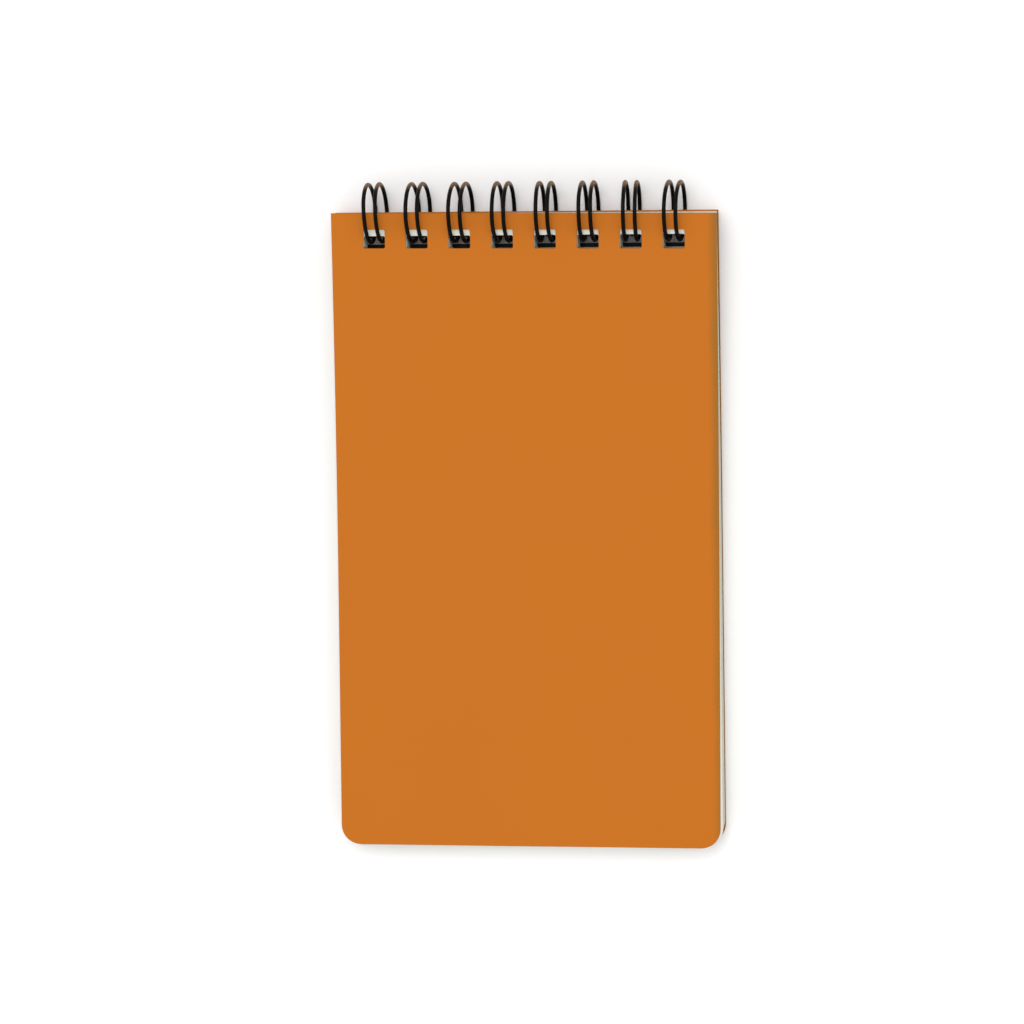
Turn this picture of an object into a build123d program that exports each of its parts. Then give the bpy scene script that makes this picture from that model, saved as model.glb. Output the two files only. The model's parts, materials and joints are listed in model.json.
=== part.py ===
"""Pocket notebook: a stack of loose sheets between two plastic covers, held along the short
top edge by one continuous twin-loop wire.

Frame, in millimetres: the closed notebook lies on its back cover. +Z is up, +Y points to the
bound edge and +X to the right of a reader. The origin is on the table under the middle of the
whole notebook. Every cover and sheet turns about one line, the wire's ring axis, which runs
along X at (hinge_y, hinge_z).

The lower half of the stack lies flat. Towards the bound edge it curves up, because the rings
are deeper than the stack and stand on the same table.
"""

import math
import os

from build123d import *

# Paper and covers
cover_width = 76.2
cover_length = 127.0
side_overhang = 0.4
end_overhang = 1.0
corner_radius = 3.9
cover_thickness = 0.45
sheet_count = 50
sheet_thickness = 0.095
sheet_gap = 0.01
cover_gap = 0.06

# Twin-loop wire
loop_count = 8
loop_pitch = 25.4 / 3
loop_width = 2.3
wire_diameter = 0.8
ring_radius = 5.7
base_bend_radius = 0.85
tip_clearance = 0.05
wire_end_length = 1.2

# How far each loop has been bent out of square, in degrees: about Y, then about Z
loop_turn = [-3.6, -4.4, -4.5, -4.0, -2.9, -2.6, 0.0, -4.1]
loop_lean = [2.4, 1.0, 0.4, 0.5, 0.6, 0.8, 0.0, -0.8]

# Punched holes
hole_margin = 3.2
back_hole_margin = 2.65
hole_side_clearance = 0.6
hole_end_clearance = 1.15
hole_corner_radius = 0.35

# How the loose pieces sit on the wire
seam_angle = 35.0
seam_clearance = 0.21
bend_length = 75.0
front_cover_inset = 0.0
back_cover_inset = 0.12
first_sheet_inset = 1.15
last_sheet_inset = 0.25
front_cover_shift = 0.05
back_cover_shift = -0.1
sheet_shift = 0.04
front_cover_skew = -0.4
sheet_jog = 0.04

# Worked out: the ring axis and the seam, where the wire's tips meet its straight runs
wire_radius = wire_diameter / 2
ring_outer = ring_radius + wire_radius
hinge_z = ring_outer
hinge_y = (cover_length + front_cover_inset - ring_outer) / 2
seam_y = hinge_y - ring_radius * math.cos(math.radians(seam_angle))
seam_z = hinge_z - ring_radius * math.sin(math.radians(seam_angle))
bend_y = seam_y - bend_length

# Worked out: a sheet is a little smaller than the covers
sheet_width = cover_width - 2 * side_overhang
sheet_length = cover_length - end_overhang

# Worked out: heights in the stack, at the free edge and at the seam
sheet_pitch = sheet_thickness + sheet_gap
stack_height = sheet_count * sheet_pitch
flat_sheet_z = cover_thickness + sheet_gap
back_cover_rise = seam_z - wire_radius - seam_clearance - cover_thickness
sheet_rise = seam_z + wire_radius + seam_clearance - flat_sheet_z
front_cover_z = flat_sheet_z + stack_height + cover_gap

# Worked out: one hole passes both wires of a loop, wherever the ring cuts the stack
front_cover_height = front_cover_z + sheet_rise - hinge_z
cut_spread = ring_radius - math.sqrt(ring_radius**2 - front_cover_height**2)
hole_width = loop_width + wire_diameter + 2 * hole_side_clearance
hole_length = cut_spread + wire_diameter + 2 * hole_end_clearance
row_half = loop_pitch * (loop_count - 1) / 2


def curved_band(width, length, top_y, low_z, thickness, rise):
    """Extrude a leaf's side view: flat from the free edge, then an arc up to the bound edge.

    The underside is at low_z on the flat and has climbed by rise at the seam.
    """
    bend_radius = (bend_length**2 + rise**2) / (2 * rise)
    centre_z = low_z + bend_radius

    def on_arc(y, offset):
        return y, centre_z - math.sqrt((bend_radius - offset) ** 2 - (y - bend_y) ** 2)

    middle_y = (bend_y + top_y) / 2
    free_y = top_y - length
    with BuildSketch(Plane.YZ) as side:
        with BuildLine():
            Line((free_y, low_z), (bend_y, low_z))
            ThreePointArc((bend_y, low_z), on_arc(middle_y, 0), on_arc(top_y, 0))
            Line(on_arc(top_y, 0), on_arc(top_y, thickness))
            ThreePointArc(
                on_arc(top_y, thickness),
                on_arc(middle_y, thickness),
                (bend_y, low_z + thickness),
            )
            Line((bend_y, low_z + thickness), (free_y, low_z + thickness))
            Line((free_y, low_z + thickness), (free_y, low_z))
        make_face()
    extrude(side.sketch, amount=width, both=True)


def leaf(width, length, inset, margin, low_z, thickness, rise, shift=0.0, skew=0.0):
    """Make one cover or sheet: a curved band trimmed to its outline, with its row of holes."""
    top_y = hinge_y - inset
    hole_y = top_y - margin - hole_length / 2
    turned = Plane.XY * Location((shift, hole_y, 0), (0, 0, skew))
    with BuildPart() as made:
        curved_band(width, length + 2, top_y + 1, low_z, thickness, rise)
        with BuildSketch(turned):
            with Locations((0, top_y - hole_y - length / 2)):
                outline = Rectangle(width, length)
            fillet(outline.vertices().group_by(Axis.Y)[0], corner_radius)
            with GridLocations(loop_pitch, 0, loop_count, 1):
                RectangleRounded(hole_width, hole_length, hole_corner_radius, mode=Mode.SUBTRACT)
        extrude(amount=2 * hinge_z, mode=Mode.INTERSECT)
    return made


def loop_frame(index):
    """Return the plane of one loop: its X is the loop's own axis, its origin the ring centre."""
    x = index * loop_pitch - row_half
    turn = Rotation(0, loop_turn[index], loop_lean[index])
    return Plane(Location((x, hinge_y, hinge_z)) * turn)


def on_ring(frame, side, angle):
    """Return a point of one leg and the wire's direction there.

    side is -1 for the left leg and 1 for the right. angle runs from the seam, over the front.
    """
    a = math.radians(angle - seam_angle)
    place = Vector(side * loop_width / 2, -ring_radius * math.cos(a), ring_radius * math.sin(a))
    heading = Vector(0, math.sin(a), math.cos(a))
    return frame.from_local_coords(place), frame.from_local_coords(heading) - frame.origin


def wire_centreline():
    """Draw the wire's line: each loop goes round, turns back at its tip and returns."""
    # Each leg leaves the straight run on a bend, and its tip stops just clear of those bends.
    run = 1.2 * base_bend_radius
    reach = loop_width / 2 + base_bend_radius
    apart = reach + wire_diameter + tip_clearance
    tip_back = math.sqrt(apart**2 - reach**2) - base_bend_radius
    start_angle = math.degrees(run / ring_radius)
    end_angle = 360 - math.degrees(tip_back / ring_radius)
    with BuildLine() as line:
        left_end = None
        for index in range(loop_count):
            frame = loop_frame(index)
            first, first_way = on_ring(frame, -1, start_angle)
            last, last_way = on_ring(frame, 1, start_angle)
            corner = first - first_way * run
            before = left_end or [corner - Vector(base_bend_radius + wire_end_length, 0, 0)]
            FilletPolyline(*before, corner, first, radius=base_bend_radius)
            up, _ = on_ring(frame, -1, 180)
            turn_in, way = on_ring(frame, -1, end_angle)
            turn_out, _ = on_ring(frame, 1, end_angle)
            back, _ = on_ring(frame, 1, 180)
            tip = (turn_in + turn_out) / 2 + way * (loop_width / 2)
            ThreePointArc(first, up, turn_in)
            ThreePointArc(turn_in, tip, turn_out)
            ThreePointArc(turn_out, back, last)
            left_end = [last, last - last_way * run]
        FilletPolyline(
            *left_end,
            left_end[1] + Vector(base_bend_radius + wire_end_length, 0, 0),
            radius=base_bend_radius,
        )
    return line


def twin_loop_wire():
    """Sweep the round wire along its line."""
    line = wire_centreline()
    start = line.wire() @ 0
    with BuildPart() as made:
        with BuildSketch(Plane(start, z_dir=line.wire() % 0)) as section:
            Circle(wire_radius)
        sweep(section.sketch, path=line.wire())
    return made


def keep(made, name):
    """Label a finished piece and write it as its own node."""
    made.part.label = name
    export_step(made.part, f"parts/{name}.step")


def build():
    os.makedirs("parts", exist_ok=True)
    keep(
        leaf(
            cover_width,
            cover_length,
            back_cover_inset,
            back_hole_margin,
            0,
            cover_thickness,
            back_cover_rise,
            back_cover_shift,
        ),
        "back_cover",
    )
    keep(
        leaf(
            cover_width,
            cover_length,
            front_cover_inset,
            hole_margin,
            front_cover_z,
            cover_thickness,
            sheet_rise,
            front_cover_shift,
            front_cover_skew,
        ),
        "front_cover",
    )
    for number in range(1, sheet_count + 1):
        depth = (number - 1) / max(sheet_count - 1, 1)
        inset = first_sheet_inset + (last_sheet_inset - first_sheet_inset) * depth
        low_z = flat_sheet_z + (sheet_count - number) * sheet_pitch
        shift = sheet_shift + sheet_jog * math.sin(2.4 * number)
        jogged = inset + sheet_jog * math.cos(4.1 * number)
        sheet = leaf(
            sheet_width,
            sheet_length,
            jogged,
            hole_margin,
            low_z,
            sheet_thickness,
            sheet_rise,
            shift,
        )
        keep(sheet, f"sheet_{number:02d}")
    keep(twin_loop_wire(), "twin_loop_wire")


build()
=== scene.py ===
import math
import random

import bmesh
import bpy
import numpy as np
from mathutils import Matrix, Vector
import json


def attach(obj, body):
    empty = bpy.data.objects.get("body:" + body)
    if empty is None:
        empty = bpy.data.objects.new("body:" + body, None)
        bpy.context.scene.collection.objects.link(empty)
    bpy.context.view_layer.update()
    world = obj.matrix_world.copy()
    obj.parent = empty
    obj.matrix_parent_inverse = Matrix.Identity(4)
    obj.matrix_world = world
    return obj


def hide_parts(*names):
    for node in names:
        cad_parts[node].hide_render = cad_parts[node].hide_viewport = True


bl_info = {
    "name": "Pocket Notebook",
    "version": (1, 0, 0),
    "blender": (4, 5, 0),
    "location": "3D View > Sidebar > Notebook",
    "description": "Dresses a top-bound pocket notebook: covers, sheets, twin-loop wire and a stage",
    "category": "Object",
}

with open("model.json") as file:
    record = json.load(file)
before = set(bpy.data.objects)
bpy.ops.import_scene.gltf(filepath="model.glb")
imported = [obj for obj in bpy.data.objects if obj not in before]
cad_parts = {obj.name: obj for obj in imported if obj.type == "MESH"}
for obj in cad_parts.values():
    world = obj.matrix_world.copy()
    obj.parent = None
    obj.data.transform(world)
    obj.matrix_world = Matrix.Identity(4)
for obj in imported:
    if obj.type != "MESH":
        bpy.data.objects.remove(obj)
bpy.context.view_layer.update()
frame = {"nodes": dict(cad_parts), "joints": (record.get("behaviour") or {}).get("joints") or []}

MM = 0.001
SHEET_COUNT = sum(name.startswith("sheet_") for name in frame["nodes"])
# The line that every leaf turns about, which is the middle of the rings
HINGE = next(Vector(j["pos_m"]) for j in frame["joints"] if j["name"] == "front_cover_turn")

# Rounding of the punched holes, and the steps round each curve of a leaf and of the wire
HOLE_CORNER_RADIUS = 0.35 * MM
HOLE_CORNER_STEPS = 3
LEAF_CORNER_STEPS = 10
BEND_STEPS = 8
TIP_STEPS = 16
RING_STEPS = 96
# Points of a leaf this close together are one
WELD_DISTANCE = 0.001 * MM

# How the leaves lie out of true: in from the hinge line, to the right, and turned in their own plane
FRONT_COVER_SHIFT = 0.05 * MM
FRONT_COVER_SKEW = math.radians(-0.4)
BACK_COVER_INSET = 0.12 * MM
BACK_COVER_SHIFT = -0.1 * MM
# The same for the sheets, in millimetres and degrees: the inset shrinks from the first sheet to the last,
# a regular jog sets neighbours apart, and the loose part is drawn at random for each sheet
FIRST_SHEET_INSET = 1.2
INSET_CHANGE = 0.85
SHEET_SHIFT = 0.04
SHEET_JOG = 0.04
LOOSE_INSET = 0.03
LOOSE_SHIFT = 0.04
LOOSE_SKEW = 0.03
# Most room between two rows of a leaf's faces
COVER_ROW_STEP = 3 * MM
SHEET_ROW_STEP = 6 * MM

# The wire's small bends, its straight ends and the air at its tips
BASE_BEND_RADIUS = 0.85 * MM
WIRE_END_LENGTH = 1.2 * MM
TIP_CLEARANCE = 0.05 * MM
# How far each loop is bent out of square: about Y, which opens it to view, then about Z, which leans it
LOOP_OPEN = [-3.8, -5.8, -5.8, -4.5, -3.0, -2.7, 0.0, -4.8]
LOOP_LEAN = [2.8, 1.2, 0.4, 0.5, 0.6, 0.8, 0.0, -0.9]


class NotebookSizes(bpy.types.PropertyGroup):
    """Sizes of the covers, the sheets and the wire."""

    cover_width: bpy.props.FloatProperty(
        name="Cover width", description="Width of each cover", default=76.2 * MM, unit="LENGTH"
    )
    sheet_width: bpy.props.FloatProperty(
        name="Sheet width", description="Width of each sheet", default=75.4 * MM, unit="LENGTH"
    )
    cover_length: bpy.props.FloatProperty(
        name="Cover length", description="Height of each cover", default=127 * MM, unit="LENGTH"
    )
    sheet_length: bpy.props.FloatProperty(
        name="Sheet length", description="Height of each sheet", default=126 * MM, unit="LENGTH"
    )
    corner_radius: bpy.props.FloatProperty(
        name="Corner radius", description="Radius of the free corners", default=3.9 * MM, unit="LENGTH"
    )
    cover_thickness: bpy.props.FloatProperty(
        name="Cover thickness", description="Thickness of each cover", default=0.45 * MM, unit="LENGTH"
    )
    sheet_thickness: bpy.props.FloatProperty(
        name="Sheet thickness", description="Thickness of one sheet", default=0.095 * MM, unit="LENGTH"
    )
    sheet_gap: bpy.props.FloatProperty(
        name="Sheet gap", description="Air between two resting sheets", default=0.01 * MM, unit="LENGTH"
    )
    cover_gap: bpy.props.FloatProperty(
        name="Cover gap",
        description="Air between the top sheet and the front cover",
        default=0.06 * MM,
        unit="LENGTH",
    )
    hole_side_clearance: bpy.props.FloatProperty(
        name="Hole side clearance",
        description="Room beside a loop in its hole",
        default=0.6 * MM,
        unit="LENGTH",
    )
    hole_end_clearance: bpy.props.FloatProperty(
        name="Hole end clearance",
        description="Room in front of and behind a wire",
        default=1.15 * MM,
        unit="LENGTH",
    )
    hole_margin: bpy.props.FloatProperty(
        name="Hole margin",
        description="Material between a hole and the bound edge",
        default=3.2 * MM,
        unit="LENGTH",
    )
    back_hole_margin: bpy.props.FloatProperty(
        name="Back hole margin",
        description="The same on the back cover",
        default=2.65 * MM,
        unit="LENGTH",
    )
    loop_pitch: bpy.props.FloatProperty(
        name="Loop pitch",
        description="Distance from one loop to the next",
        default=25.4 / 3 * MM,
        unit="LENGTH",
    )
    loop_count: bpy.props.IntProperty(name="Loops", description="Twin loops in the wire", default=8, min=1)
    loop_width: bpy.props.FloatProperty(
        name="Loop width",
        description="Distance between a loop's two wires",
        default=2.3 * MM,
        unit="LENGTH",
    )
    wire_diameter: bpy.props.FloatProperty(
        name="Wire diameter", description="Diameter over the coating", default=0.8 * MM, unit="LENGTH"
    )
    ring_radius: bpy.props.FloatProperty(
        name="Ring radius",
        description="From the ring's centre to the wire's centre",
        default=5.7 * MM,
        unit="LENGTH",
    )
    seam_angle: bpy.props.FloatProperty(
        name="Seam angle",
        description="How far below the leaves the wire's tips meet its straight runs",
        default=math.radians(35.0),
        unit="ROTATION",
    )
    seam_clearance: bpy.props.FloatProperty(
        name="Seam clearance",
        description="Air between a leaf and the wire at the seam",
        default=0.21 * MM,
        unit="LENGTH",
    )
    bend_length: bpy.props.FloatProperty(
        name="Bend length",
        description="How much of a leaf curves up to the rings",
        default=75 * MM,
        unit="LENGTH",
    )


class NotebookLook(bpy.types.PropertyGroup):
    """Colours and the view."""

    cover_color: bpy.props.FloatVectorProperty(
        name="Cover colour",
        description="Colour of the plastic covers",
        subtype="COLOR",
        size=4,
        min=0,
        max=1,
        default=(0.509, 0.144, 0.008, 1),
    )
    cover_edge_shade_color: bpy.props.FloatVectorProperty(
        name="Cover edge shade colour",
        description="Painted shade of the covers along their right edge",
        subtype="COLOR",
        size=4,
        min=0,
        max=1,
        default=(0.30, 0.125, 0.014, 1),
    )
    cover_cut_shade_color: bpy.props.FloatVectorProperty(
        name="Cover cut edge shade",
        description="Painted shade on the covers' cut edges",
        subtype="COLOR",
        size=4,
        min=0,
        max=1,
        default=(0.30, 0.115, 0.014, 1),
    )
    wire_color: bpy.props.FloatVectorProperty(
        name="Wire colour",
        description="Colour of the wire's coating",
        subtype="COLOR",
        size=4,
        min=0,
        max=1,
        default=(0.002, 0.0018, 0.0015, 1),
    )
    loop_top_color: bpy.props.FloatVectorProperty(
        name="Loop top colour",
        description="Colour of the coating towards the loops' tops",
        subtype="COLOR",
        size=4,
        min=0,
        max=1,
        default=(0.150, 0.070, 0.022, 1),
    )
    paper_color: bpy.props.FloatVectorProperty(
        name="Paper colour",
        description="Colour of the writing paper",
        subtype="COLOR",
        size=4,
        min=0,
        max=1,
        default=(0.80, 0.81, 0.72, 1),
    )
    paper_edge_shade_color: bpy.props.FloatVectorProperty(
        name="Paper edge shade colour",
        description="Colour of the sheets' cut edges, darkened with painted shade",
        subtype="COLOR",
        size=4,
        min=0,
        max=1,
        default=(0.37, 0.36, 0.25, 1),
    )
    hole_shade_color: bpy.props.FloatVectorProperty(
        name="Hole shade colour",
        description="Painted shade inside the punched holes",
        subtype="COLOR",
        size=4,
        min=0,
        max=1,
        default=(0.012, 0.010, 0.007, 1),
    )
    rule_color: bpy.props.FloatVectorProperty(
        name="Ruling colour",
        description="Colour of the faint printed lines",
        subtype="COLOR",
        size=4,
        min=0,
        max=1,
        default=(0.36, 0.47, 0.62, 1),
    )
    rule_spacing: bpy.props.FloatProperty(
        name="Ruling spacing",
        description="Distance between printed lines",
        default=7.1 * MM,
        unit="LENGTH",
    )
    camera_turn: bpy.props.FloatProperty(
        name="Camera turn",
        description="How far to the right the camera stands",
        default=math.radians(6.7),
        unit="ROTATION",
    )
    camera_tilt: bpy.props.FloatProperty(
        name="Camera tilt",
        description="How far towards the bound edge the camera stands",
        default=math.radians(7.15),
        unit="ROTATION",
    )
    camera_roll: bpy.props.FloatProperty(
        name="Camera roll",
        description="Turn of the picture",
        default=math.radians(-0.93),
        unit="ROTATION",
    )
    camera_distance: bpy.props.FloatProperty(
        name="Camera distance", description="From the camera to the notebook", default=1.0, unit="LENGTH"
    )
    view_width: bpy.props.FloatProperty(
        name="View width",
        description="How much the picture takes in at the notebook",
        default=203.7 * MM,
        unit="LENGTH",
    )


# Leaves


def seam_place():
    """Y and Z of the seam, where the wire's tips meet its straight runs."""
    s = bpy.context.scene.notebook_sizes
    return HINGE.y - s.ring_radius * math.cos(s.seam_angle), HINGE.z - s.ring_radius * math.sin(s.seam_angle)


def leaf_heights():
    """Heights of the lowest sheet and front cover where flat, then climbs of back cover and sheets."""
    s = bpy.context.scene.notebook_sizes
    clear = s.wire_diameter / 2 + s.seam_clearance
    lowest = s.cover_thickness + s.sheet_gap
    front = lowest + SHEET_COUNT * (s.sheet_thickness + s.sheet_gap) + s.cover_gap
    seam_z = seam_place()[1]
    return lowest, front, seam_z - clear - s.cover_thickness, seam_z + clear - lowest


def hole_size():
    """Width and length of a punched hole, which passes both wires of a loop all through the stack."""
    s = bpy.context.scene.notebook_sizes
    _, front, _, sheet_rise = leaf_heights()
    height = front + sheet_rise - HINGE.z
    spread = s.ring_radius - math.sqrt(s.ring_radius**2 - height**2)
    width = s.loop_width + s.wire_diameter + 2 * s.hole_side_clearance
    return width, spread + s.wire_diameter + 2 * s.hole_end_clearance


def breaks(low, high, step):
    """Evenly spaced numbers from low to high, no further apart than step."""
    return list(np.linspace(low, high, max(1, math.ceil((high - low) / step)) + 1))


def corner_arc(centre, radius, start, steps):
    """Points of a quarter circle, counter-clockwise from start in degrees."""
    angles = [math.radians(start + 90 * i / steps) for i in range(steps + 1)]
    return [(centre[0] + radius * math.cos(a), centre[1] + radius * math.sin(a)) for a in angles]


def flat_leaf(name, width, length, top_y, margin, shift, skew, row_step):
    """A flat cover or sheet in the XY plane, as a grid of faces with its punched holes left out."""
    s = bpy.context.scene.notebook_sizes
    hole_width, hole_length = hole_size()
    half, corner, inner = width / 2, s.corner_radius, HOLE_CORNER_RADIUS
    hole_half = hole_width / 2
    hole_top = top_y - margin
    hole_low = hole_top - hole_length
    free = top_y - length
    centres = [(i - (s.loop_count - 1) / 2) * s.loop_pitch for i in range(s.loop_count)]
    xs = [-half, -half + corner, half - corner, half]
    for c in centres:
        xs += [c - hole_half, c - hole_half + inner, c, c + hole_half - inner, c + hole_half]
    xs = sorted(xs)
    hole_rows = [hole_low, hole_low + inner, hole_top - inner, hole_top]
    above_holes = [(hole_top + top_y) / 2, top_y]
    ys = [free] + breaks(free + corner, hole_low, row_step)[:-1] + hole_rows + above_holes
    mesh = bmesh.new()
    made = {}

    def vertex(x, y):
        key = round(x, 8), round(y, 8)
        if key not in made:
            made[key] = mesh.verts.new((x, y, 0))
        return made[key]

    def face(points):
        mesh.faces.new([vertex(*p) for p in points])

    def near_hole(x):
        return min(centres, key=lambda c: abs(c - x))

    for x0, x1 in zip(xs, xs[1:]):
        for y0, y1 in zip(ys, ys[1:]):
            mid_x, mid_y = (x0 + x1) / 2, (y0 + y1) / 2
            c = near_hole(mid_x)
            from_c, from_row = abs(mid_x - c), abs(mid_y - (hole_top + hole_low) / 2)
            if from_c < hole_half and from_row < hole_length / 2:
                in_corner = from_c > hole_half - inner and from_row > hole_length / 2 - inner
                if in_corner:
                    right, top = mid_x > c, mid_y > (hole_top + hole_low) / 2
                    at = (x0 if right else x1, y0 if top else y1)
                    start = {(1, 1): 0, (0, 1): 90, (0, 0): 180, (1, 0): 270}[right, top]
                    arc = corner_arc(at, inner, start, HOLE_CORNER_STEPS)
                    tip = (x1 if right else x0, y1 if top else y0)
                    face([tip] + arc[::-1])
                continue
            if mid_y < free + corner and abs(mid_x) > half - corner:
                right = mid_x > 0
                at = (x0 if right else x1, y1)
                face([at] + corner_arc(at, corner, 270 if right else 180, LEAF_CORNER_STEPS))
                continue
            face([(x0, y0), (x1, y0), (x1, y1), (x0, y1)])
    row_y = top_y - margin - hole_length / 2
    turn = Matrix.Rotation(skew, 4, "Z") @ Matrix.Translation((0, -row_y, 0))
    turn = Matrix.Translation((shift, row_y, 0)) @ turn
    bmesh.ops.transform(mesh, matrix=turn, verts=mesh.verts)
    bmesh.ops.recalc_face_normals(mesh, faces=mesh.faces)
    if mesh.faces[:][0].normal.z < 0:
        bmesh.ops.reverse_faces(mesh, faces=mesh.faces)
    data = bpy.data.meshes.new(name)
    mesh.to_mesh(data)
    mesh.free()
    leaf = bpy.data.objects.new(name, data)
    bpy.context.scene.collection.objects.link(leaf)
    return leaf


def new_tree(name, inputs):
    """An empty geometry tree with these inputs: (name, socket type, default)."""
    tree = bpy.data.node_groups.new(name, "GeometryNodeTree")
    tree.is_modifier = True
    tree.interface.new_socket("Geometry", in_out="INPUT", socket_type="NodeSocketGeometry")
    for label, kind, default in inputs:
        socket = tree.interface.new_socket(label, in_out="INPUT", socket_type=kind)
        if default is not None:
            socket.default_value = default
    tree.interface.new_socket("Geometry", in_out="OUTPUT", socket_type="NodeSocketGeometry")
    return tree, tree.nodes.new("NodeGroupInput"), tree.nodes.new("NodeGroupOutput")


def math_node(tree, operation, first, second=None):
    """Adds a Math node and returns its output. Each input is a socket or a number."""
    node = tree.nodes.new("ShaderNodeMath")
    node.operation = operation
    for socket, value in zip(node.inputs, (first, second)):
        if value is None:
            continue
        if isinstance(value, (int, float)):
            socket.default_value = value
        else:
            tree.links.new(value, socket)
    return node.outputs[0]


def end_tree(tree, geometry, start, end):
    """Makes this geometry real, gives it the tree's material and puts it out."""
    real = tree.nodes.new("GeometryNodeRealizeInstances")
    tree.links.new(geometry, real.inputs[0])
    paint = tree.nodes.new("GeometryNodeSetMaterial")
    tree.links.new(real.outputs[0], paint.inputs["Geometry"])
    tree.links.new(start.outputs["Material"], paint.inputs["Material"])
    tree.links.new(paint.outputs[0], end.inputs[0])


def curved_leaf_tree():
    """Bends a flat leaf up towards the rings and gives it its thickness."""
    tree, start, end = new_tree(
        "Curved leaf",
        [
            ("Bend start", "NodeSocketFloat", 0.0),
            ("Bend radius", "NodeSocketFloat", 1.0),
            ("Height", "NodeSocketFloat", 0.0),
            ("Thickness", "NodeSocketFloat", 0.0005),
            ("Material", "NodeSocketMaterial", None),
        ],
    )
    links = tree.links
    place = tree.nodes.new("GeometryNodeInputPosition")
    split = tree.nodes.new("ShaderNodeSeparateXYZ")
    links.new(place.outputs[0], split.inputs[0])
    past = math_node(tree, "SUBTRACT", split.outputs["Y"], start.outputs["Bend start"])
    past = math_node(tree, "MAXIMUM", past, 0.0)
    square = math_node(tree, "MULTIPLY", start.outputs["Bend radius"], start.outputs["Bend radius"])
    past_square = math_node(tree, "MULTIPLY", past, past)
    depth = math_node(tree, "SQRT", math_node(tree, "SUBTRACT", square, past_square))
    rise = math_node(tree, "SUBTRACT", start.outputs["Bend radius"], depth)
    height = math_node(tree, "ADD", rise, start.outputs["Height"])
    lift = tree.nodes.new("ShaderNodeCombineXYZ")
    links.new(height, lift.inputs["Z"])
    bend = tree.nodes.new("GeometryNodeSetPosition")
    links.new(start.outputs["Geometry"], bend.inputs["Geometry"])
    links.new(lift.outputs[0], bend.inputs["Offset"])
    thick = tree.nodes.new("GeometryNodeExtrudeMesh")
    thick.inputs["Individual"].default_value = False
    links.new(bend.outputs[0], thick.inputs["Mesh"])
    links.new(start.outputs["Thickness"], thick.inputs["Offset Scale"])
    mark = tree.nodes.new("GeometryNodeStoreNamedAttribute")
    mark.data_type = "FLOAT"
    mark.domain = "FACE"
    mark.inputs["Name"].default_value = "cut"
    mark.inputs["Value"].default_value = 1.0
    links.new(thick.outputs["Mesh"], mark.inputs["Geometry"])
    links.new(thick.outputs["Side"], mark.inputs["Selection"])
    under = tree.nodes.new("GeometryNodeFlipFaces")
    links.new(bend.outputs[0], under.inputs[0])
    both = tree.nodes.new("GeometryNodeJoinGeometry")
    links.new(mark.outputs["Geometry"], both.inputs[0])
    links.new(under.outputs[0], both.inputs[0])
    weld = tree.nodes.new("GeometryNodeMergeByDistance")
    weld.inputs["Distance"].default_value = WELD_DISTANCE
    links.new(both.outputs[0], weld.inputs["Geometry"])
    end_tree(tree, weld.outputs[0], start, end)
    return tree


def apply_tree(obj, tree, values):
    """Runs a geometry tree on obj with these input values and makes the result its plain mesh."""
    modifier = obj.modifiers.new(tree.name, "NODES")
    modifier.node_group = tree
    for item in tree.interface.items_tree:
        if item.in_out == "INPUT" and item.name in values:
            modifier[item.identifier] = values[item.name]
    obj.update_tag()
    seen = obj.evaluated_get(bpy.context.evaluated_depsgraph_get())
    made = bpy.data.meshes.new_from_object(seen)
    obj.modifiers.clear()
    return made


def plain_object(name, mesh, old):
    """An object at the origin that shows this mesh. The helper object it came from is removed."""
    bpy.data.objects.remove(old)
    mesh.name = name
    obj = bpy.data.objects.new(name, mesh)
    bpy.context.scene.collection.objects.link(obj)
    return obj


def bend_radius(rise):
    """Radius of the arc that climbs by rise over the bent length."""
    length = bpy.context.scene.notebook_sizes.bend_length
    return (length**2 + rise**2) / (2 * rise)


def make_leaf(name, node, material, size, row_step, top_y, margin, shift, skew, low_z, rise):
    """One finished cover or sheet of this width, length and thickness, riding where its CAD solid rides."""
    width, length, thickness = size
    bend_y = seam_place()[0] - bpy.context.scene.notebook_sizes.bend_length
    flat = flat_leaf(name + "_flat", width, length, top_y, margin, shift, skew, row_step)
    tree = bpy.data.node_groups.get("Curved leaf") or curved_leaf_tree()
    mesh = apply_tree(
        flat,
        tree,
        {
            "Bend start": bend_y,
            "Bend radius": bend_radius(rise),
            "Height": low_z,
            "Thickness": thickness,
            "Material": material,
        },
    )
    leaf = plain_object(name, mesh, flat)
    mesh.shade_smooth()
    mesh.set_sharp_from_angle(angle=math.radians(35))
    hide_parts(node)
    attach(leaf, node)
    return leaf


# Materials


def shader_group(name, inputs, outputs):
    """An empty shader node group with these sockets: (name, socket type, default)."""
    group = bpy.data.node_groups.new(name, "ShaderNodeTree")
    for label, kind, default in inputs:
        socket = group.interface.new_socket(label, in_out="INPUT", socket_type=kind)
        if default is not None:
            socket.default_value = default
    for label, kind in outputs:
        group.interface.new_socket(label, in_out="OUTPUT", socket_type=kind)
    return group, group.nodes.new("NodeGroupInput"), group.nodes.new("NodeGroupOutput")


def noise_node(tree, vector, scale, detail):
    """A noise texture on these coordinates; returns its factor."""
    node = tree.nodes.new("ShaderNodeTexNoise")
    node.inputs["Scale"].default_value = scale
    node.inputs["Detail"].default_value = detail
    tree.links.new(vector, node.inputs["Vector"])
    return node.outputs[0]


def range_node(tree, value, low, high, to_low=0.0, to_high=1.0, smooth=True):
    """Maps value from low..high to to_low..to_high, clamped."""
    node = tree.nodes.new("ShaderNodeMapRange")
    node.interpolation_type = "SMOOTHSTEP" if smooth else "LINEAR"
    for socket, number in zip(("From Min", "From Max", "To Min", "To Max"), (low, high, to_low, to_high)):
        node.inputs[socket].default_value = number
    tree.links.new(value, node.inputs["Value"])
    return node.outputs[0]


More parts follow.
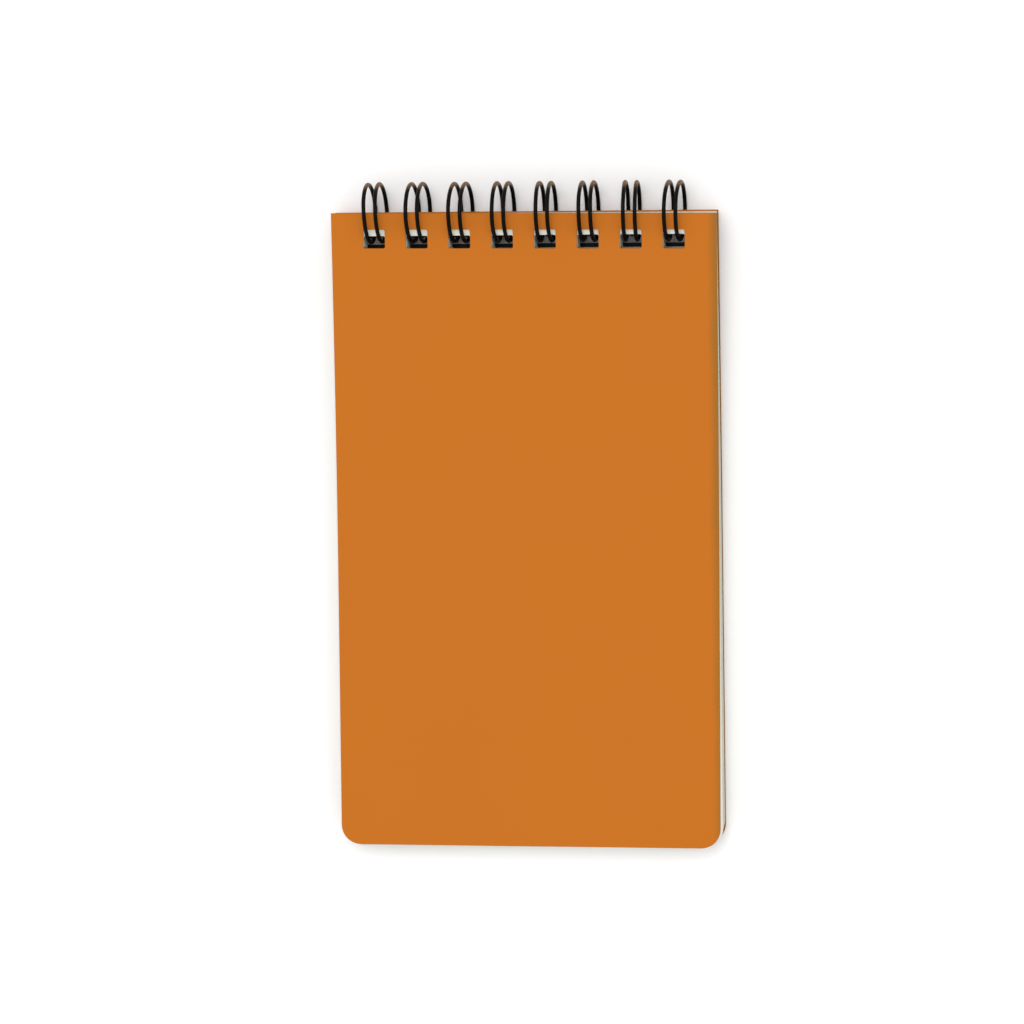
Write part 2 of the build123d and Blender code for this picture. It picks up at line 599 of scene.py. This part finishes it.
def mix_color(tree, factor, first, second, blend="MIX"):
    """A colour mix; each input is a socket, a colour or a number."""
    node = tree.nodes.new("ShaderNodeMix")
    node.data_type = "RGBA"
    node.blend_type = blend
    for socket, value in ((node.inputs[0], factor), (node.inputs[6], first), (node.inputs[7], second)):
        if isinstance(value, bpy.types.NodeSocket):
            tree.links.new(value, socket)
        else:
            socket.default_value = value
    return node.outputs[2]


def handled_surface_group():
    """Fine detail that every piece here has: a grain for bump, and soft blotches for colour and gloss."""
    group, start, end = shader_group(
        "Handled surface",
        [
            ("Grain size", "NodeSocketFloat", 5000.0),
            ("Blotch size", "NodeSocketFloat", 60.0),
            ("Blotch depth", "NodeSocketFloat", 0.1),
        ],
        [("Grain", "NodeSocketFloat"), ("Blotch", "NodeSocketFloat"), ("Shade", "NodeSocketFloat")],
    )
    coordinates = group.nodes.new("ShaderNodeTexCoord")
    grain = group.nodes.new("ShaderNodeTexNoise")
    grain.inputs["Detail"].default_value = 3
    blotch = group.nodes.new("ShaderNodeTexNoise")
    blotch.inputs["Detail"].default_value = 4
    for node, size in ((grain, "Grain size"), (blotch, "Blotch size")):
        group.links.new(coordinates.outputs["Object"], node.inputs["Vector"])
        group.links.new(start.outputs[size], node.inputs["Scale"])
    group.links.new(grain.outputs[0], end.inputs["Grain"])
    group.links.new(blotch.outputs[0], end.inputs["Blotch"])
    away = math_node(group, "SUBTRACT", blotch.outputs[0], 0.5)
    away = math_node(group, "MULTIPLY", away, start.outputs["Blotch depth"])
    group.links.new(math_node(group, "ADD", away, 1.0), end.inputs["Shade"])
    return group


def leaf_edges_group():
    """Where a leaf's cut faces are its outer edges or its hole walls, and how near its right edge is."""
    group, start, end = shader_group(
        "Leaf edges",
        [
            ("Cut", "NodeSocketFloat", 0.0),
            ("Half width", "NodeSocketFloat", 0.038),
            ("Row low", "NodeSocketFloat", 0.05),
            ("Row high", "NodeSocketFloat", 0.06),
            ("Reach", "NodeSocketFloat", 0.0015),
            ("Pitch", "NodeSocketFloat", 0.008467),
            ("Hole half width", "NodeSocketFloat", 0.00215),
        ],
        [
            ("Outer edge", "NodeSocketFloat"),
            ("Hole wall", "NodeSocketFloat"),
            ("Right edge shade", "NodeSocketFloat"),
            ("Layers", "NodeSocketFloat"),
            ("Left wall", "NodeSocketFloat"),
            ("Around holes", "NodeSocketFloat"),
        ],
    )
    coordinates = group.nodes.new("ShaderNodeTexCoord")
    split = group.nodes.new("ShaderNodeSeparateXYZ")
    group.links.new(coordinates.outputs["Object"], split.inputs[0])
    x, y, z = split.outputs
    # How deep the outer edges and the left hole walls reach, and how far the painted shade along the right
    # edge wanders
    edge_depth = 0.8 * MM
    wall_depth = 0.3 * MM
    shade_wander = 1.2 * MM
    inward = math_node(group, "SUBTRACT", start.outputs["Half width"], math_node(group, "ABSOLUTE", x))
    inside = math_node(group, "GREATER_THAN", inward, edge_depth)
    above = math_node(group, "GREATER_THAN", y, start.outputs["Row low"])
    below = math_node(group, "LESS_THAN", y, start.outputs["Row high"])
    in_row = math_node(group, "MULTIPLY", inside, math_node(group, "MULTIPLY", above, below))
    group.links.new(math_node(group, "MULTIPLY", start.outputs["Cut"], in_row), end.inputs["Hole wall"])
    outside = math_node(group, "SUBTRACT", 1.0, in_row)
    group.links.new(math_node(group, "MULTIPLY", start.outputs["Cut"], outside), end.inputs["Outer edge"])
    along = math_node(group, "FRACT", math_node(group, "DIVIDE", x, start.outputs["Pitch"]))
    from_hole = math_node(group, "SUBTRACT", along, 0.5)
    from_hole = math_node(group, "MULTIPLY", from_hole, start.outputs["Pitch"])
    wall_line = math_node(group, "SUBTRACT", start.outputs["Hole half width"], wall_depth)
    past_left = math_node(group, "ADD", from_hole, wall_line)
    fading = range_node(group, x, -16 * MM, 6 * MM, 1.0, 0.25)
    left = math_node(group, "MULTIPLY", math_node(group, "LESS_THAN", past_left, 0.0), fading)
    group.links.new(left, end.inputs["Left wall"])
    beyond = math_node(group, "ABSOLUTE", from_hole)
    beyond = math_node(group, "SUBTRACT", beyond, start.outputs["Hole half width"])
    near = range_node(group, beyond, 0.1 * MM, 0.9 * MM, 1.0, 0.0)
    group.links.new(math_node(group, "MULTIPLY", near, in_row), end.inputs["Around holes"])
    # Mask for the painted shade along a cover's right edge, its border broken by noise
    wander = noise_node(group, coordinates.outputs["Object"], 90, 2)
    wander = math_node(group, "MULTIPLY", math_node(group, "SUBTRACT", wander, 0.5), shade_wander)
    right = math_node(group, "SUBTRACT", start.outputs["Half width"], math_node(group, "ADD", x, wander))
    share = math_node(group, "DIVIDE", right, start.outputs["Reach"])
    group.links.new(range_node(group, share, 0.0, 1.0, 1.0, 0.0), end.inputs["Right edge shade"])
    flat = group.nodes.new("ShaderNodeCombineXYZ")
    # Stretched across, so that the noise varies with height and reads as layers of paper
    for value, stretch, socket in zip((x, y, z), (0.01, 0.01, 1.0), flat.inputs):
        group.links.new(math_node(group, "MULTIPLY", value, stretch), socket)
    group.links.new(noise_node(group, flat.outputs[0], 11000, 1), end.inputs["Layers"])
    return group


def leaf_edges(tree, width, reach):
    """Adds the group of leaf edges to a material's tree, fed with the leaf's cut faces."""
    s = bpy.context.scene.notebook_sizes
    below_row = 2 * MM
    cut = tree.nodes.new("ShaderNodeAttribute")
    cut.attribute_name = "cut"
    edges = tree.nodes.new("ShaderNodeGroup")
    edges.node_tree = bpy.data.node_groups.get("Leaf edges") or leaf_edges_group()
    edges.inputs["Half width"].default_value = width / 2
    edges.inputs["Row low"].default_value = HINGE.y - s.hole_margin - hole_size()[1] - below_row
    edges.inputs["Row high"].default_value = HINGE.y - 0.7 * s.hole_margin
    edges.inputs["Reach"].default_value = reach
    edges.inputs["Pitch"].default_value = s.loop_pitch
    edges.inputs["Hole half width"].default_value = hole_size()[0] / 2
    tree.links.new(cut.outputs["Fac"], edges.inputs["Cut"])
    return edges


def shaded(tree, color, surface):
    """Multiplies a colour by the surface's soft blotches."""
    shade = tree.nodes.new("ShaderNodeCombineColor")
    for channel in range(3):
        tree.links.new(surface.outputs["Shade"], shade.inputs[channel])
    return mix_color(tree, 1.0, color, shade.outputs[0], "MULTIPLY")


def new_material(name):
    """An empty material with its Principled shader, and the group of fine surface detail."""
    material = bpy.data.materials.new(name)
    material.use_nodes = True
    tree = material.node_tree
    tree.nodes.clear()
    shader = tree.nodes.new("ShaderNodeBsdfPrincipled")
    out = tree.nodes.new("ShaderNodeOutputMaterial")
    tree.links.new(shader.outputs[0], out.inputs[0])
    surface = tree.nodes.new("ShaderNodeGroup")
    surface.node_tree = bpy.data.node_groups.get("Handled surface") or handled_surface_group()
    return material, tree, shader, surface


def uneven_gloss(tree, shader, surface, low, high):
    """Lets the roughness wander between low and high with the surface's blotches."""
    roughness = range_node(tree, surface.outputs["Blotch"], 0.3, 0.7, low, high)
    tree.links.new(roughness, shader.inputs["Roughness"])


def object_axes(tree):
    """The X, Y and Z of a point in the piece's own coordinates, by name."""
    coordinates = tree.nodes.new("ShaderNodeTexCoord")
    split = tree.nodes.new("ShaderNodeSeparateXYZ")
    tree.links.new(coordinates.outputs["Object"], split.inputs[0])
    return split.outputs


def bump(tree, shader, height, strength, distance):
    """Adds a bump from height to the shader's normal."""
    node = tree.nodes.new("ShaderNodeBump")
    node.inputs["Strength"].default_value = strength
    node.inputs["Distance"].default_value = distance
    tree.links.new(height, node.inputs["Height"])
    tree.links.new(node.outputs[0], shader.inputs["Normal"])


def cover_material():
    """Satin orange-brown plastic, with painted shade along its right edge, on its cut edges and round the
    back cover's holes.
    """
    look = bpy.context.scene.notebook_look
    material, tree, shader, surface = new_material("Cover plastic")
    surface.inputs["Grain size"].default_value = 4200
    surface.inputs["Blotch size"].default_value = 38
    surface.inputs["Blotch depth"].default_value = 0.05
    edge_shade_reach, edge_shade_depth = 2.4 * MM, 0.95
    edges = leaf_edges(tree, bpy.context.scene.notebook_sizes.cover_width, edge_shade_reach)
    # Painted shade: the colour darkens towards the cover's right edge
    edge_shade = math_node(tree, "MULTIPLY", edges.outputs["Right edge shade"], edge_shade_depth)
    color = mix_color(tree, edge_shade, tuple(look.cover_color), tuple(look.cover_edge_shade_color))
    # Painted shade: the cut edges are darkened, standing in for contact shadow
    cut = math_node(tree, "MAXIMUM", edges.outputs["Outer edge"], edges.outputs["Hole wall"])
    color = mix_color(tree, cut, color, tuple(look.cover_cut_shade_color))
    axes = object_axes(tree)
    # The back cover is the only one this low
    back_top = 3 * MM
    # Painted shade: the back cover's inner face round its holes is blackened, standing in for the shadow
    # deep in the holes
    low = math_node(tree, "LESS_THAN", axes["Z"], back_top)
    hole_shade = math_node(tree, "MULTIPLY", low, edges.outputs["Around holes"])
    color = mix_color(tree, hole_shade, color, tuple(look.hole_shade_color))
    tree.links.new(shaded(tree, color, surface), shader.inputs["Base Color"])
    uneven_gloss(tree, shader, surface, 0.46, 0.56)
    shader.inputs["IOR"].default_value = 1.49
    shader.inputs["Specular IOR Level"].default_value = 0.14
    bump(tree, shader, surface.outputs["Grain"], 0.12, 0.00004)
    return material


def wire_material():
    """Black nylon coating, turning a warm brown towards the outside of the loops."""
    look = bpy.context.scene.notebook_look
    material, tree, shader, surface = new_material("Wire coating")
    surface.inputs["Grain size"].default_value = 6000
    surface.inputs["Blotch size"].default_value = 900
    surface.inputs["Blotch depth"].default_value = 0.5
    axes = object_axes(tree)
    # The brown starts a little short of the loops' outermost line
    outermost = HINGE.y + 5.7 * MM
    outward = range_node(tree, axes["Y"], outermost - 1.1 * MM, outermost)
    patchy = range_node(tree, surface.outputs["Blotch"], 0.2, 0.6, 0.6, 1.0)
    tint_mask = math_node(tree, "MULTIPLY", outward, patchy)
    color = mix_color(tree, tint_mask, tuple(look.wire_color), tuple(look.loop_top_color))
    tree.links.new(color, shader.inputs["Base Color"])
    uneven_gloss(tree, shader, surface, 0.26, 0.4)
    shader.inputs["Specular IOR Level"].default_value = 0.07
    bump(tree, shader, surface.outputs["Grain"], 0.08, 0.00002)
    return material


def paper_material():
    """Off-white writing paper with fibres and faint printed lines below the holes."""
    look = bpy.context.scene.notebook_look
    sizes = bpy.context.scene.notebook_sizes
    material, tree, shader, surface = new_material("Writing paper")
    surface.inputs["Grain size"].default_value = 3500
    surface.inputs["Blotch size"].default_value = 260
    surface.inputs["Blotch depth"].default_value = 0.05
    axes = object_axes(tree)
    # The ruling starts below the holes, ends above the free edge and stops short of the sides
    first_rule, last_rule, rule_margin, rule_width, rule_depth = 18 * MM, 26 * MM, 0.6 * MM, 0.11 * MM, 0.75
    edges = leaf_edges(tree, sizes.sheet_width, 1.0 * MM)
    first = HINGE.y - first_rule
    down = math_node(tree, "SUBTRACT", first, axes["Y"])
    steps = math_node(tree, "DIVIDE", down, look.rule_spacing)
    from_line = math_node(tree, "SUBTRACT", math_node(tree, "FRACT", steps), 0.5)
    from_line = math_node(tree, "ABSOLUTE", from_line)
    width = rule_width / look.rule_spacing
    line = range_node(tree, from_line, width * 0.6, width * 1.4, 1.0, 0.0)
    below = math_node(tree, "GREATER_THAN", down, 0.0)
    above = math_node(tree, "LESS_THAN", down, sizes.sheet_length - last_rule)
    from_middle = math_node(tree, "ABSOLUTE", axes["X"])
    beside = math_node(tree, "LESS_THAN", from_middle, sizes.sheet_width / 2 - rule_margin)
    for mask in (below, above, beside, rule_depth):
        line = math_node(tree, "MULTIPLY", line, mask)
    color = mix_color(tree, line, tuple(look.paper_color), tuple(look.rule_color))
    layers = range_node(tree, edges.outputs["Layers"], 0.35, 0.65, 0.78, 1.1, smooth=False)
    tone = tree.nodes.new("ShaderNodeCombineColor")
    for channel in range(3):
        tree.links.new(layers, tone.inputs[channel])
    # The sheets' cut edges: their own yellowish tone, darkened with painted shade that stands in for the
    # shadow in the gaps between sheets
    shaded_edge_color = mix_color(tree, 1.0, tuple(look.paper_edge_shade_color), tone.outputs[0], "MULTIPLY")
    color = mix_color(tree, edges.outputs["Outer edge"], color, shaded_edge_color)
    # Painted shade: all hole walls but the lit left ones are blackened, standing in for the shadow deep in
    # the holes
    tint_mask = math_node(tree, "SUBTRACT", 1.0, edges.outputs["Left wall"])
    tint_mask = math_node(tree, "MULTIPLY", edges.outputs["Hole wall"], tint_mask)
    color = mix_color(tree, tint_mask, color, tuple(look.hole_shade_color))
    tree.links.new(shaded(tree, color, surface), shader.inputs["Base Color"])
    uneven_gloss(tree, shader, surface, 0.84, 0.94)
    shader.inputs["Specular IOR Level"].default_value = 0.2
    bump(tree, shader, surface.outputs["Grain"], 0.15, 0.00003)
    return material


# Wire


def wire_points():
    """The wire's line from its left end to its right end, as points close enough together to look round."""
    s = bpy.context.scene.notebook_sizes
    radius, half = s.ring_radius, s.loop_width / 2
    bend = BASE_BEND_RADIUS
    run = 1.2 * bend
    end_length = WIRE_END_LENGTH + bend
    reach = half + bend
    apart = reach + s.wire_diameter + TIP_CLEARANCE
    tip_back = math.sqrt(apart**2 - reach**2) - bend
    start = run / radius
    end = 2 * math.pi - tip_back / radius
    points = []
    corner_before = None

    def rounded(before, corner, after):
        """The arc of radius bend that takes one straight run into the next."""
        a, b = (before - corner).normalized(), (after - corner).normalized()
        angle = a.angle(b)
        back = bend / math.tan(angle / 2)
        centre = corner + (a + b).normalized() * (bend / math.sin(angle / 2))
        first, last = corner + a * back, corner + b * back
        u, v = first - centre, last - centre
        turn = u.angle(v)
        out = []
        for i in range(BEND_STEPS + 1):
            t = i / BEND_STEPS
            out.append(centre + (u * math.sin((1 - t) * turn) + v * math.sin(t * turn)) / math.sin(turn))
        return out

    for index in range(s.loop_count):
        x = (index - (s.loop_count - 1) / 2) * s.loop_pitch
        turn = Matrix.Rotation(math.radians(LOOP_OPEN[index]), 3, "Y")
        turn = turn @ Matrix.Rotation(math.radians(LOOP_LEAN[index]), 3, "Z")
        centre = Vector((x, HINGE.y, HINGE.z))

        def place(side, angle):
            a = angle - s.seam_angle
            at = Vector((side * half, -radius * math.cos(a), radius * math.sin(a)))
            way = Vector((0, math.sin(a), math.cos(a)))
            return centre + turn @ at, turn @ way

        first, first_way = place(-1, start)
        corner = first - first_way * run
        if corner_before is None:
            points.append(corner - Vector((end_length, 0, 0)))
            points += rounded(points[-1], corner, first)
        else:
            last_end, last_corner = corner_before
            points += rounded(last_end, last_corner, corner)
            points += rounded(last_corner, corner, first)
        for i in range(1, RING_STEPS + 1):
            points.append(place(-1, start + (end - start) * i / RING_STEPS)[0])
        turn_in, way = place(-1, end)
        turn_out, _ = place(1, end)
        middle, across = (turn_in + turn_out) / 2, (turn_in - turn_out) / 2
        for i in range(1, TIP_STEPS):
            a = math.pi * i / TIP_STEPS
            points.append(middle + across * math.cos(a) + way * (half * math.sin(a)))
        for i in range(RING_STEPS + 1):
            points.append(place(1, end + (start - end) * i / RING_STEPS)[0])
        last, last_way = place(1, start)
        corner_before = last, last - last_way * run
    last_end, last_corner = corner_before
    tail = last_corner + Vector((end_length, 0, 0))
    points += rounded(last_end, last_corner, tail)
    points.append(tail)
    return points


def wire_tree():
    """Sweeps a round wire along its line, with the slight unevenness of bent wire."""
    tree, start, end = new_tree(
        "Round wire",
        [
            ("Wire diameter", "NodeSocketFloat", 0.0008),
            ("Unevenness", "NodeSocketFloat", 0.0),
            ("Sides", "NodeSocketInt", 16),
            ("Material", "NodeSocketMaterial", None),
        ],
    )
    links = tree.links
    noise = tree.nodes.new("ShaderNodeTexNoise")
    noise.inputs["Scale"].default_value = 160
    noise.inputs["Detail"].default_value = 0
    away = tree.nodes.new("ShaderNodeVectorMath")
    away.operation = "SUBTRACT"
    away.inputs[1].default_value = (0.5, 0.5, 0.5)
    links.new(noise.outputs["Color"], away.inputs[0])
    scaled = tree.nodes.new("ShaderNodeVectorMath")
    scaled.operation = "SCALE"
    links.new(away.outputs[0], scaled.inputs[0])
    links.new(start.outputs["Unevenness"], scaled.inputs["Scale"])
    move = tree.nodes.new("GeometryNodeSetPosition")
    links.new(start.outputs["Geometry"], move.inputs["Geometry"])
    links.new(scaled.outputs[0], move.inputs["Offset"])
    ring = tree.nodes.new("GeometryNodeCurvePrimitiveCircle")
    links.new(start.outputs["Sides"], ring.inputs["Resolution"])
    links.new(math_node(tree, "MULTIPLY", start.outputs["Wire diameter"], 0.5), ring.inputs["Radius"])
    sweep = tree.nodes.new("GeometryNodeCurveToMesh")
    sweep.inputs["Fill Caps"].default_value = True
    links.new(move.outputs[0], sweep.inputs["Curve"])
    links.new(ring.outputs[0], sweep.inputs["Profile Curve"])
    end_tree(tree, sweep.outputs[0], start, end)
    return tree


# Operators


class NOTEBOOK_OT_covers(bpy.types.Operator):
    """Make the two plastic covers"""

    bl_idname = "notebook.covers"
    bl_label = "Make covers"

    def execute(self, context):
        s = context.scene.notebook_sizes
        plastic = cover_material()
        _, front_low, back_rise, sheet_rise = leaf_heights()
        size = s.cover_width, s.cover_length, s.cover_thickness
        front = make_leaf(
            "cover_front",
            "front_cover",
            plastic,
            size,
            COVER_ROW_STEP,
            top_y=HINGE.y,
            margin=s.hole_margin,
            shift=FRONT_COVER_SHIFT,
            skew=FRONT_COVER_SKEW,
            low_z=front_low,
            rise=sheet_rise,
        )
        back = make_leaf(
            "cover_back",
            "back_cover",
            plastic,
            size,
            COVER_ROW_STEP,
            top_y=HINGE.y - BACK_COVER_INSET,
            margin=s.back_hole_margin,
            shift=BACK_COVER_SHIFT,
            skew=0.0,
            low_z=0.0,
            rise=back_rise,
        )
        for cover in (front, back):
            rim = cover.modifiers.new("Soft rim", "BEVEL")
            rim.width = 0.09 * MM
            rim.segments = 2
            rim.limit_method = "ANGLE"
            rim.angle_limit = math.radians(40)
            rim.harden_normals = True
        return {"FINISHED"}


class NOTEBOOK_OT_sheets(bpy.types.Operator):
    """Make the loose sheets of paper"""

    bl_idname = "notebook.sheets"
    bl_label = "Make sheets"

    def execute(self, context):
        s = context.scene.notebook_sizes
        paper = paper_material()
        lowest, _, _, rise = leaf_heights()
        pitch = s.sheet_thickness + s.sheet_gap
        size = s.sheet_width, s.sheet_length, s.sheet_thickness
        loose = random.Random(7)
        for number in range(1, SHEET_COUNT + 1):
            depth = (number - 1) / max(SHEET_COUNT - 1, 1)
            inset = FIRST_SHEET_INSET - INSET_CHANGE * depth + SHEET_JOG * math.cos(4.1 * number)
            inset += loose.uniform(-LOOSE_INSET, LOOSE_INSET)
            shift = SHEET_SHIFT + SHEET_JOG * math.sin(2.4 * number)
            shift += loose.uniform(-LOOSE_SHIFT, LOOSE_SHIFT)
            sheet = make_leaf(
                f"page_{number:02d}",
                f"sheet_{number:02d}",
                paper,
                size,
                SHEET_ROW_STEP,
                top_y=HINGE.y - inset * MM,
                margin=s.hole_margin,
                shift=shift * MM,
                skew=math.radians(loose.uniform(-LOOSE_SKEW, LOOSE_SKEW)),
                low_z=lowest + (SHEET_COUNT - number) * pitch,
                rise=rise,
            )
        return {"FINISHED"}


class NOTEBOOK_OT_wire(bpy.types.Operator):
    """Make the twin-loop wire"""

    bl_idname = "notebook.wire"
    bl_label = "Make wire"

    def execute(self, context):
        s = context.scene.notebook_sizes
        points = wire_points()
        curve = bpy.data.curves.new("wire_line", "CURVE")
        curve.dimensions = "3D"
        spline = curve.splines.new("POLY")
        spline.points.add(len(points) - 1)
        spline.points.foreach_set("co", [n for p in points for n in (*p, 1)])
        line = bpy.data.objects.new("wire_line", curve)
        context.scene.collection.objects.link(line)
        values = {
            "Wire diameter": s.wire_diameter,
            "Unevenness": 0.12 * MM,
            "Sides": 18,
            "Material": wire_material(),
        }
        mesh = apply_tree(line, wire_tree(), values)
        wire = plain_object("wire_loops", mesh, line)
        mesh.shade_smooth()
        mesh.set_sharp_from_angle(angle=math.radians(50))
        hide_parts("twin_loop_wire")
        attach(wire, "wire")
        return {"FINISHED"}


def soft_light(name, place, target, size, power):
    """A square area light at place that faces target."""
    data = bpy.data.lights.new(name, "AREA")
    data.shape = "SQUARE"
    data.size = size
    data.energy = power
    light = bpy.data.objects.new(name, data)
    light.location = place
    light.rotation_euler = (Vector(target) - Vector(place)).to_track_quat("-Z", "Y").to_euler()
    bpy.context.scene.collection.objects.link(light)
    return light


class NOTEBOOK_OT_stage(bpy.types.Operator):
    """Make the floor, the lights and the camera"""

    bl_idname = "notebook.stage"
    bl_label = "Make stage"

    def execute(self, context):
        scene = context.scene
        look = scene.notebook_look
        floor_mesh = bpy.data.meshes.new("floor")
        reach = 3
        corners = [(-reach, -reach, 0), (reach, -reach, 0), (reach, reach, 0), (-reach, reach, 0)]
        floor_mesh.from_pydata(corners, [], [(0, 1, 2, 3)])
        floor = bpy.data.objects.new("floor", floor_mesh)
        scene.collection.objects.link(floor)
        pale = bpy.data.materials.new("Pale floor")
        pale.use_nodes = True
        shader = pale.node_tree.nodes["Principled BSDF"]
        shader.inputs["Base Color"].default_value = (0.97, 0.97, 0.97, 1)
        shader.inputs["Roughness"].default_value = 0.9
        shader.inputs["Specular IOR Level"].default_value = 0.0
        floor_mesh.materials.append(pale)
        floor.location.z = -0.1 * MM

        world = bpy.data.worlds.new("Studio")
        world.use_nodes = True
        sky = world.node_tree.nodes["Background"]
        sky.inputs["Color"].default_value = (1, 1, 1, 1)
        sky.inputs["Strength"].default_value = 0.95
        scene.world = world
        soft_light("key_light", (-0.05, 0.4, 1.2), (0, 0, 0), 0.6, 4.5)

        target = Vector((-3.67, 0.61, 4.0)) * MM
        turn, tilt = look.camera_turn, look.camera_tilt
        away = Vector((math.sin(turn) * math.cos(tilt), math.sin(tilt), math.cos(turn) * math.cos(tilt)))
        right = Vector((0, 1, 0)).cross(away).normalized()
        up = away.cross(right)
        c, r = math.cos(look.camera_roll), math.sin(look.camera_roll)
        right, up = right * c + up * r, up * c - right * r
        data = bpy.data.cameras.new("camera")
        data.sensor_width = 36
        data.lens = data.sensor_width * look.camera_distance / look.view_width
        data.clip_start = 0.01
        camera = bpy.data.objects.new("camera", data)
        camera.matrix_world = Matrix.Translation(target + away * look.camera_distance) @ Matrix(
            (right, up, away)
        ).transposed().to_4x4()
        scene.collection.objects.link(camera)
        scene.camera = camera
        scene.view_settings.view_transform = "Standard"
        return {"FINISHED"}


class NOTEBOOK_PT_panel(bpy.types.Panel):
    """Shows the notebook's operators and its sizes and look"""

    bl_label = "Notebook"
    bl_idname = "NOTEBOOK_PT_panel"
    bl_space_type = "VIEW_3D"
    bl_region_type = "UI"
    bl_category = "Notebook"

    def draw(self, context):
        for operator in OPERATORS:
            self.layout.operator(operator.bl_idname)
        for group in (context.scene.notebook_sizes, context.scene.notebook_look):
            column = self.layout.column()
            for name in group.__annotations__:
                column.prop(group, name)


OPERATORS = (NOTEBOOK_OT_covers, NOTEBOOK_OT_sheets, NOTEBOOK_OT_wire, NOTEBOOK_OT_stage)
CLASSES = (NotebookSizes, NotebookLook, *OPERATORS, NOTEBOOK_PT_panel)


def register():
    for cls in CLASSES:
        bpy.utils.register_class(cls)
    bpy.types.Scene.notebook_sizes = bpy.props.PointerProperty(type=NotebookSizes)
    bpy.types.Scene.notebook_look = bpy.props.PointerProperty(type=NotebookLook)


def unregister():
    del bpy.types.Scene.notebook_look
    del bpy.types.Scene.notebook_sizes
    for cls in reversed(CLASSES):
        bpy.utils.unregister_class(cls)


def main():
    register()
    bpy.ops.notebook.covers()
    bpy.ops.notebook.sheets()
    bpy.ops.notebook.wire()
    bpy.ops.notebook.stage()


if __name__ == "__main__":
    main()
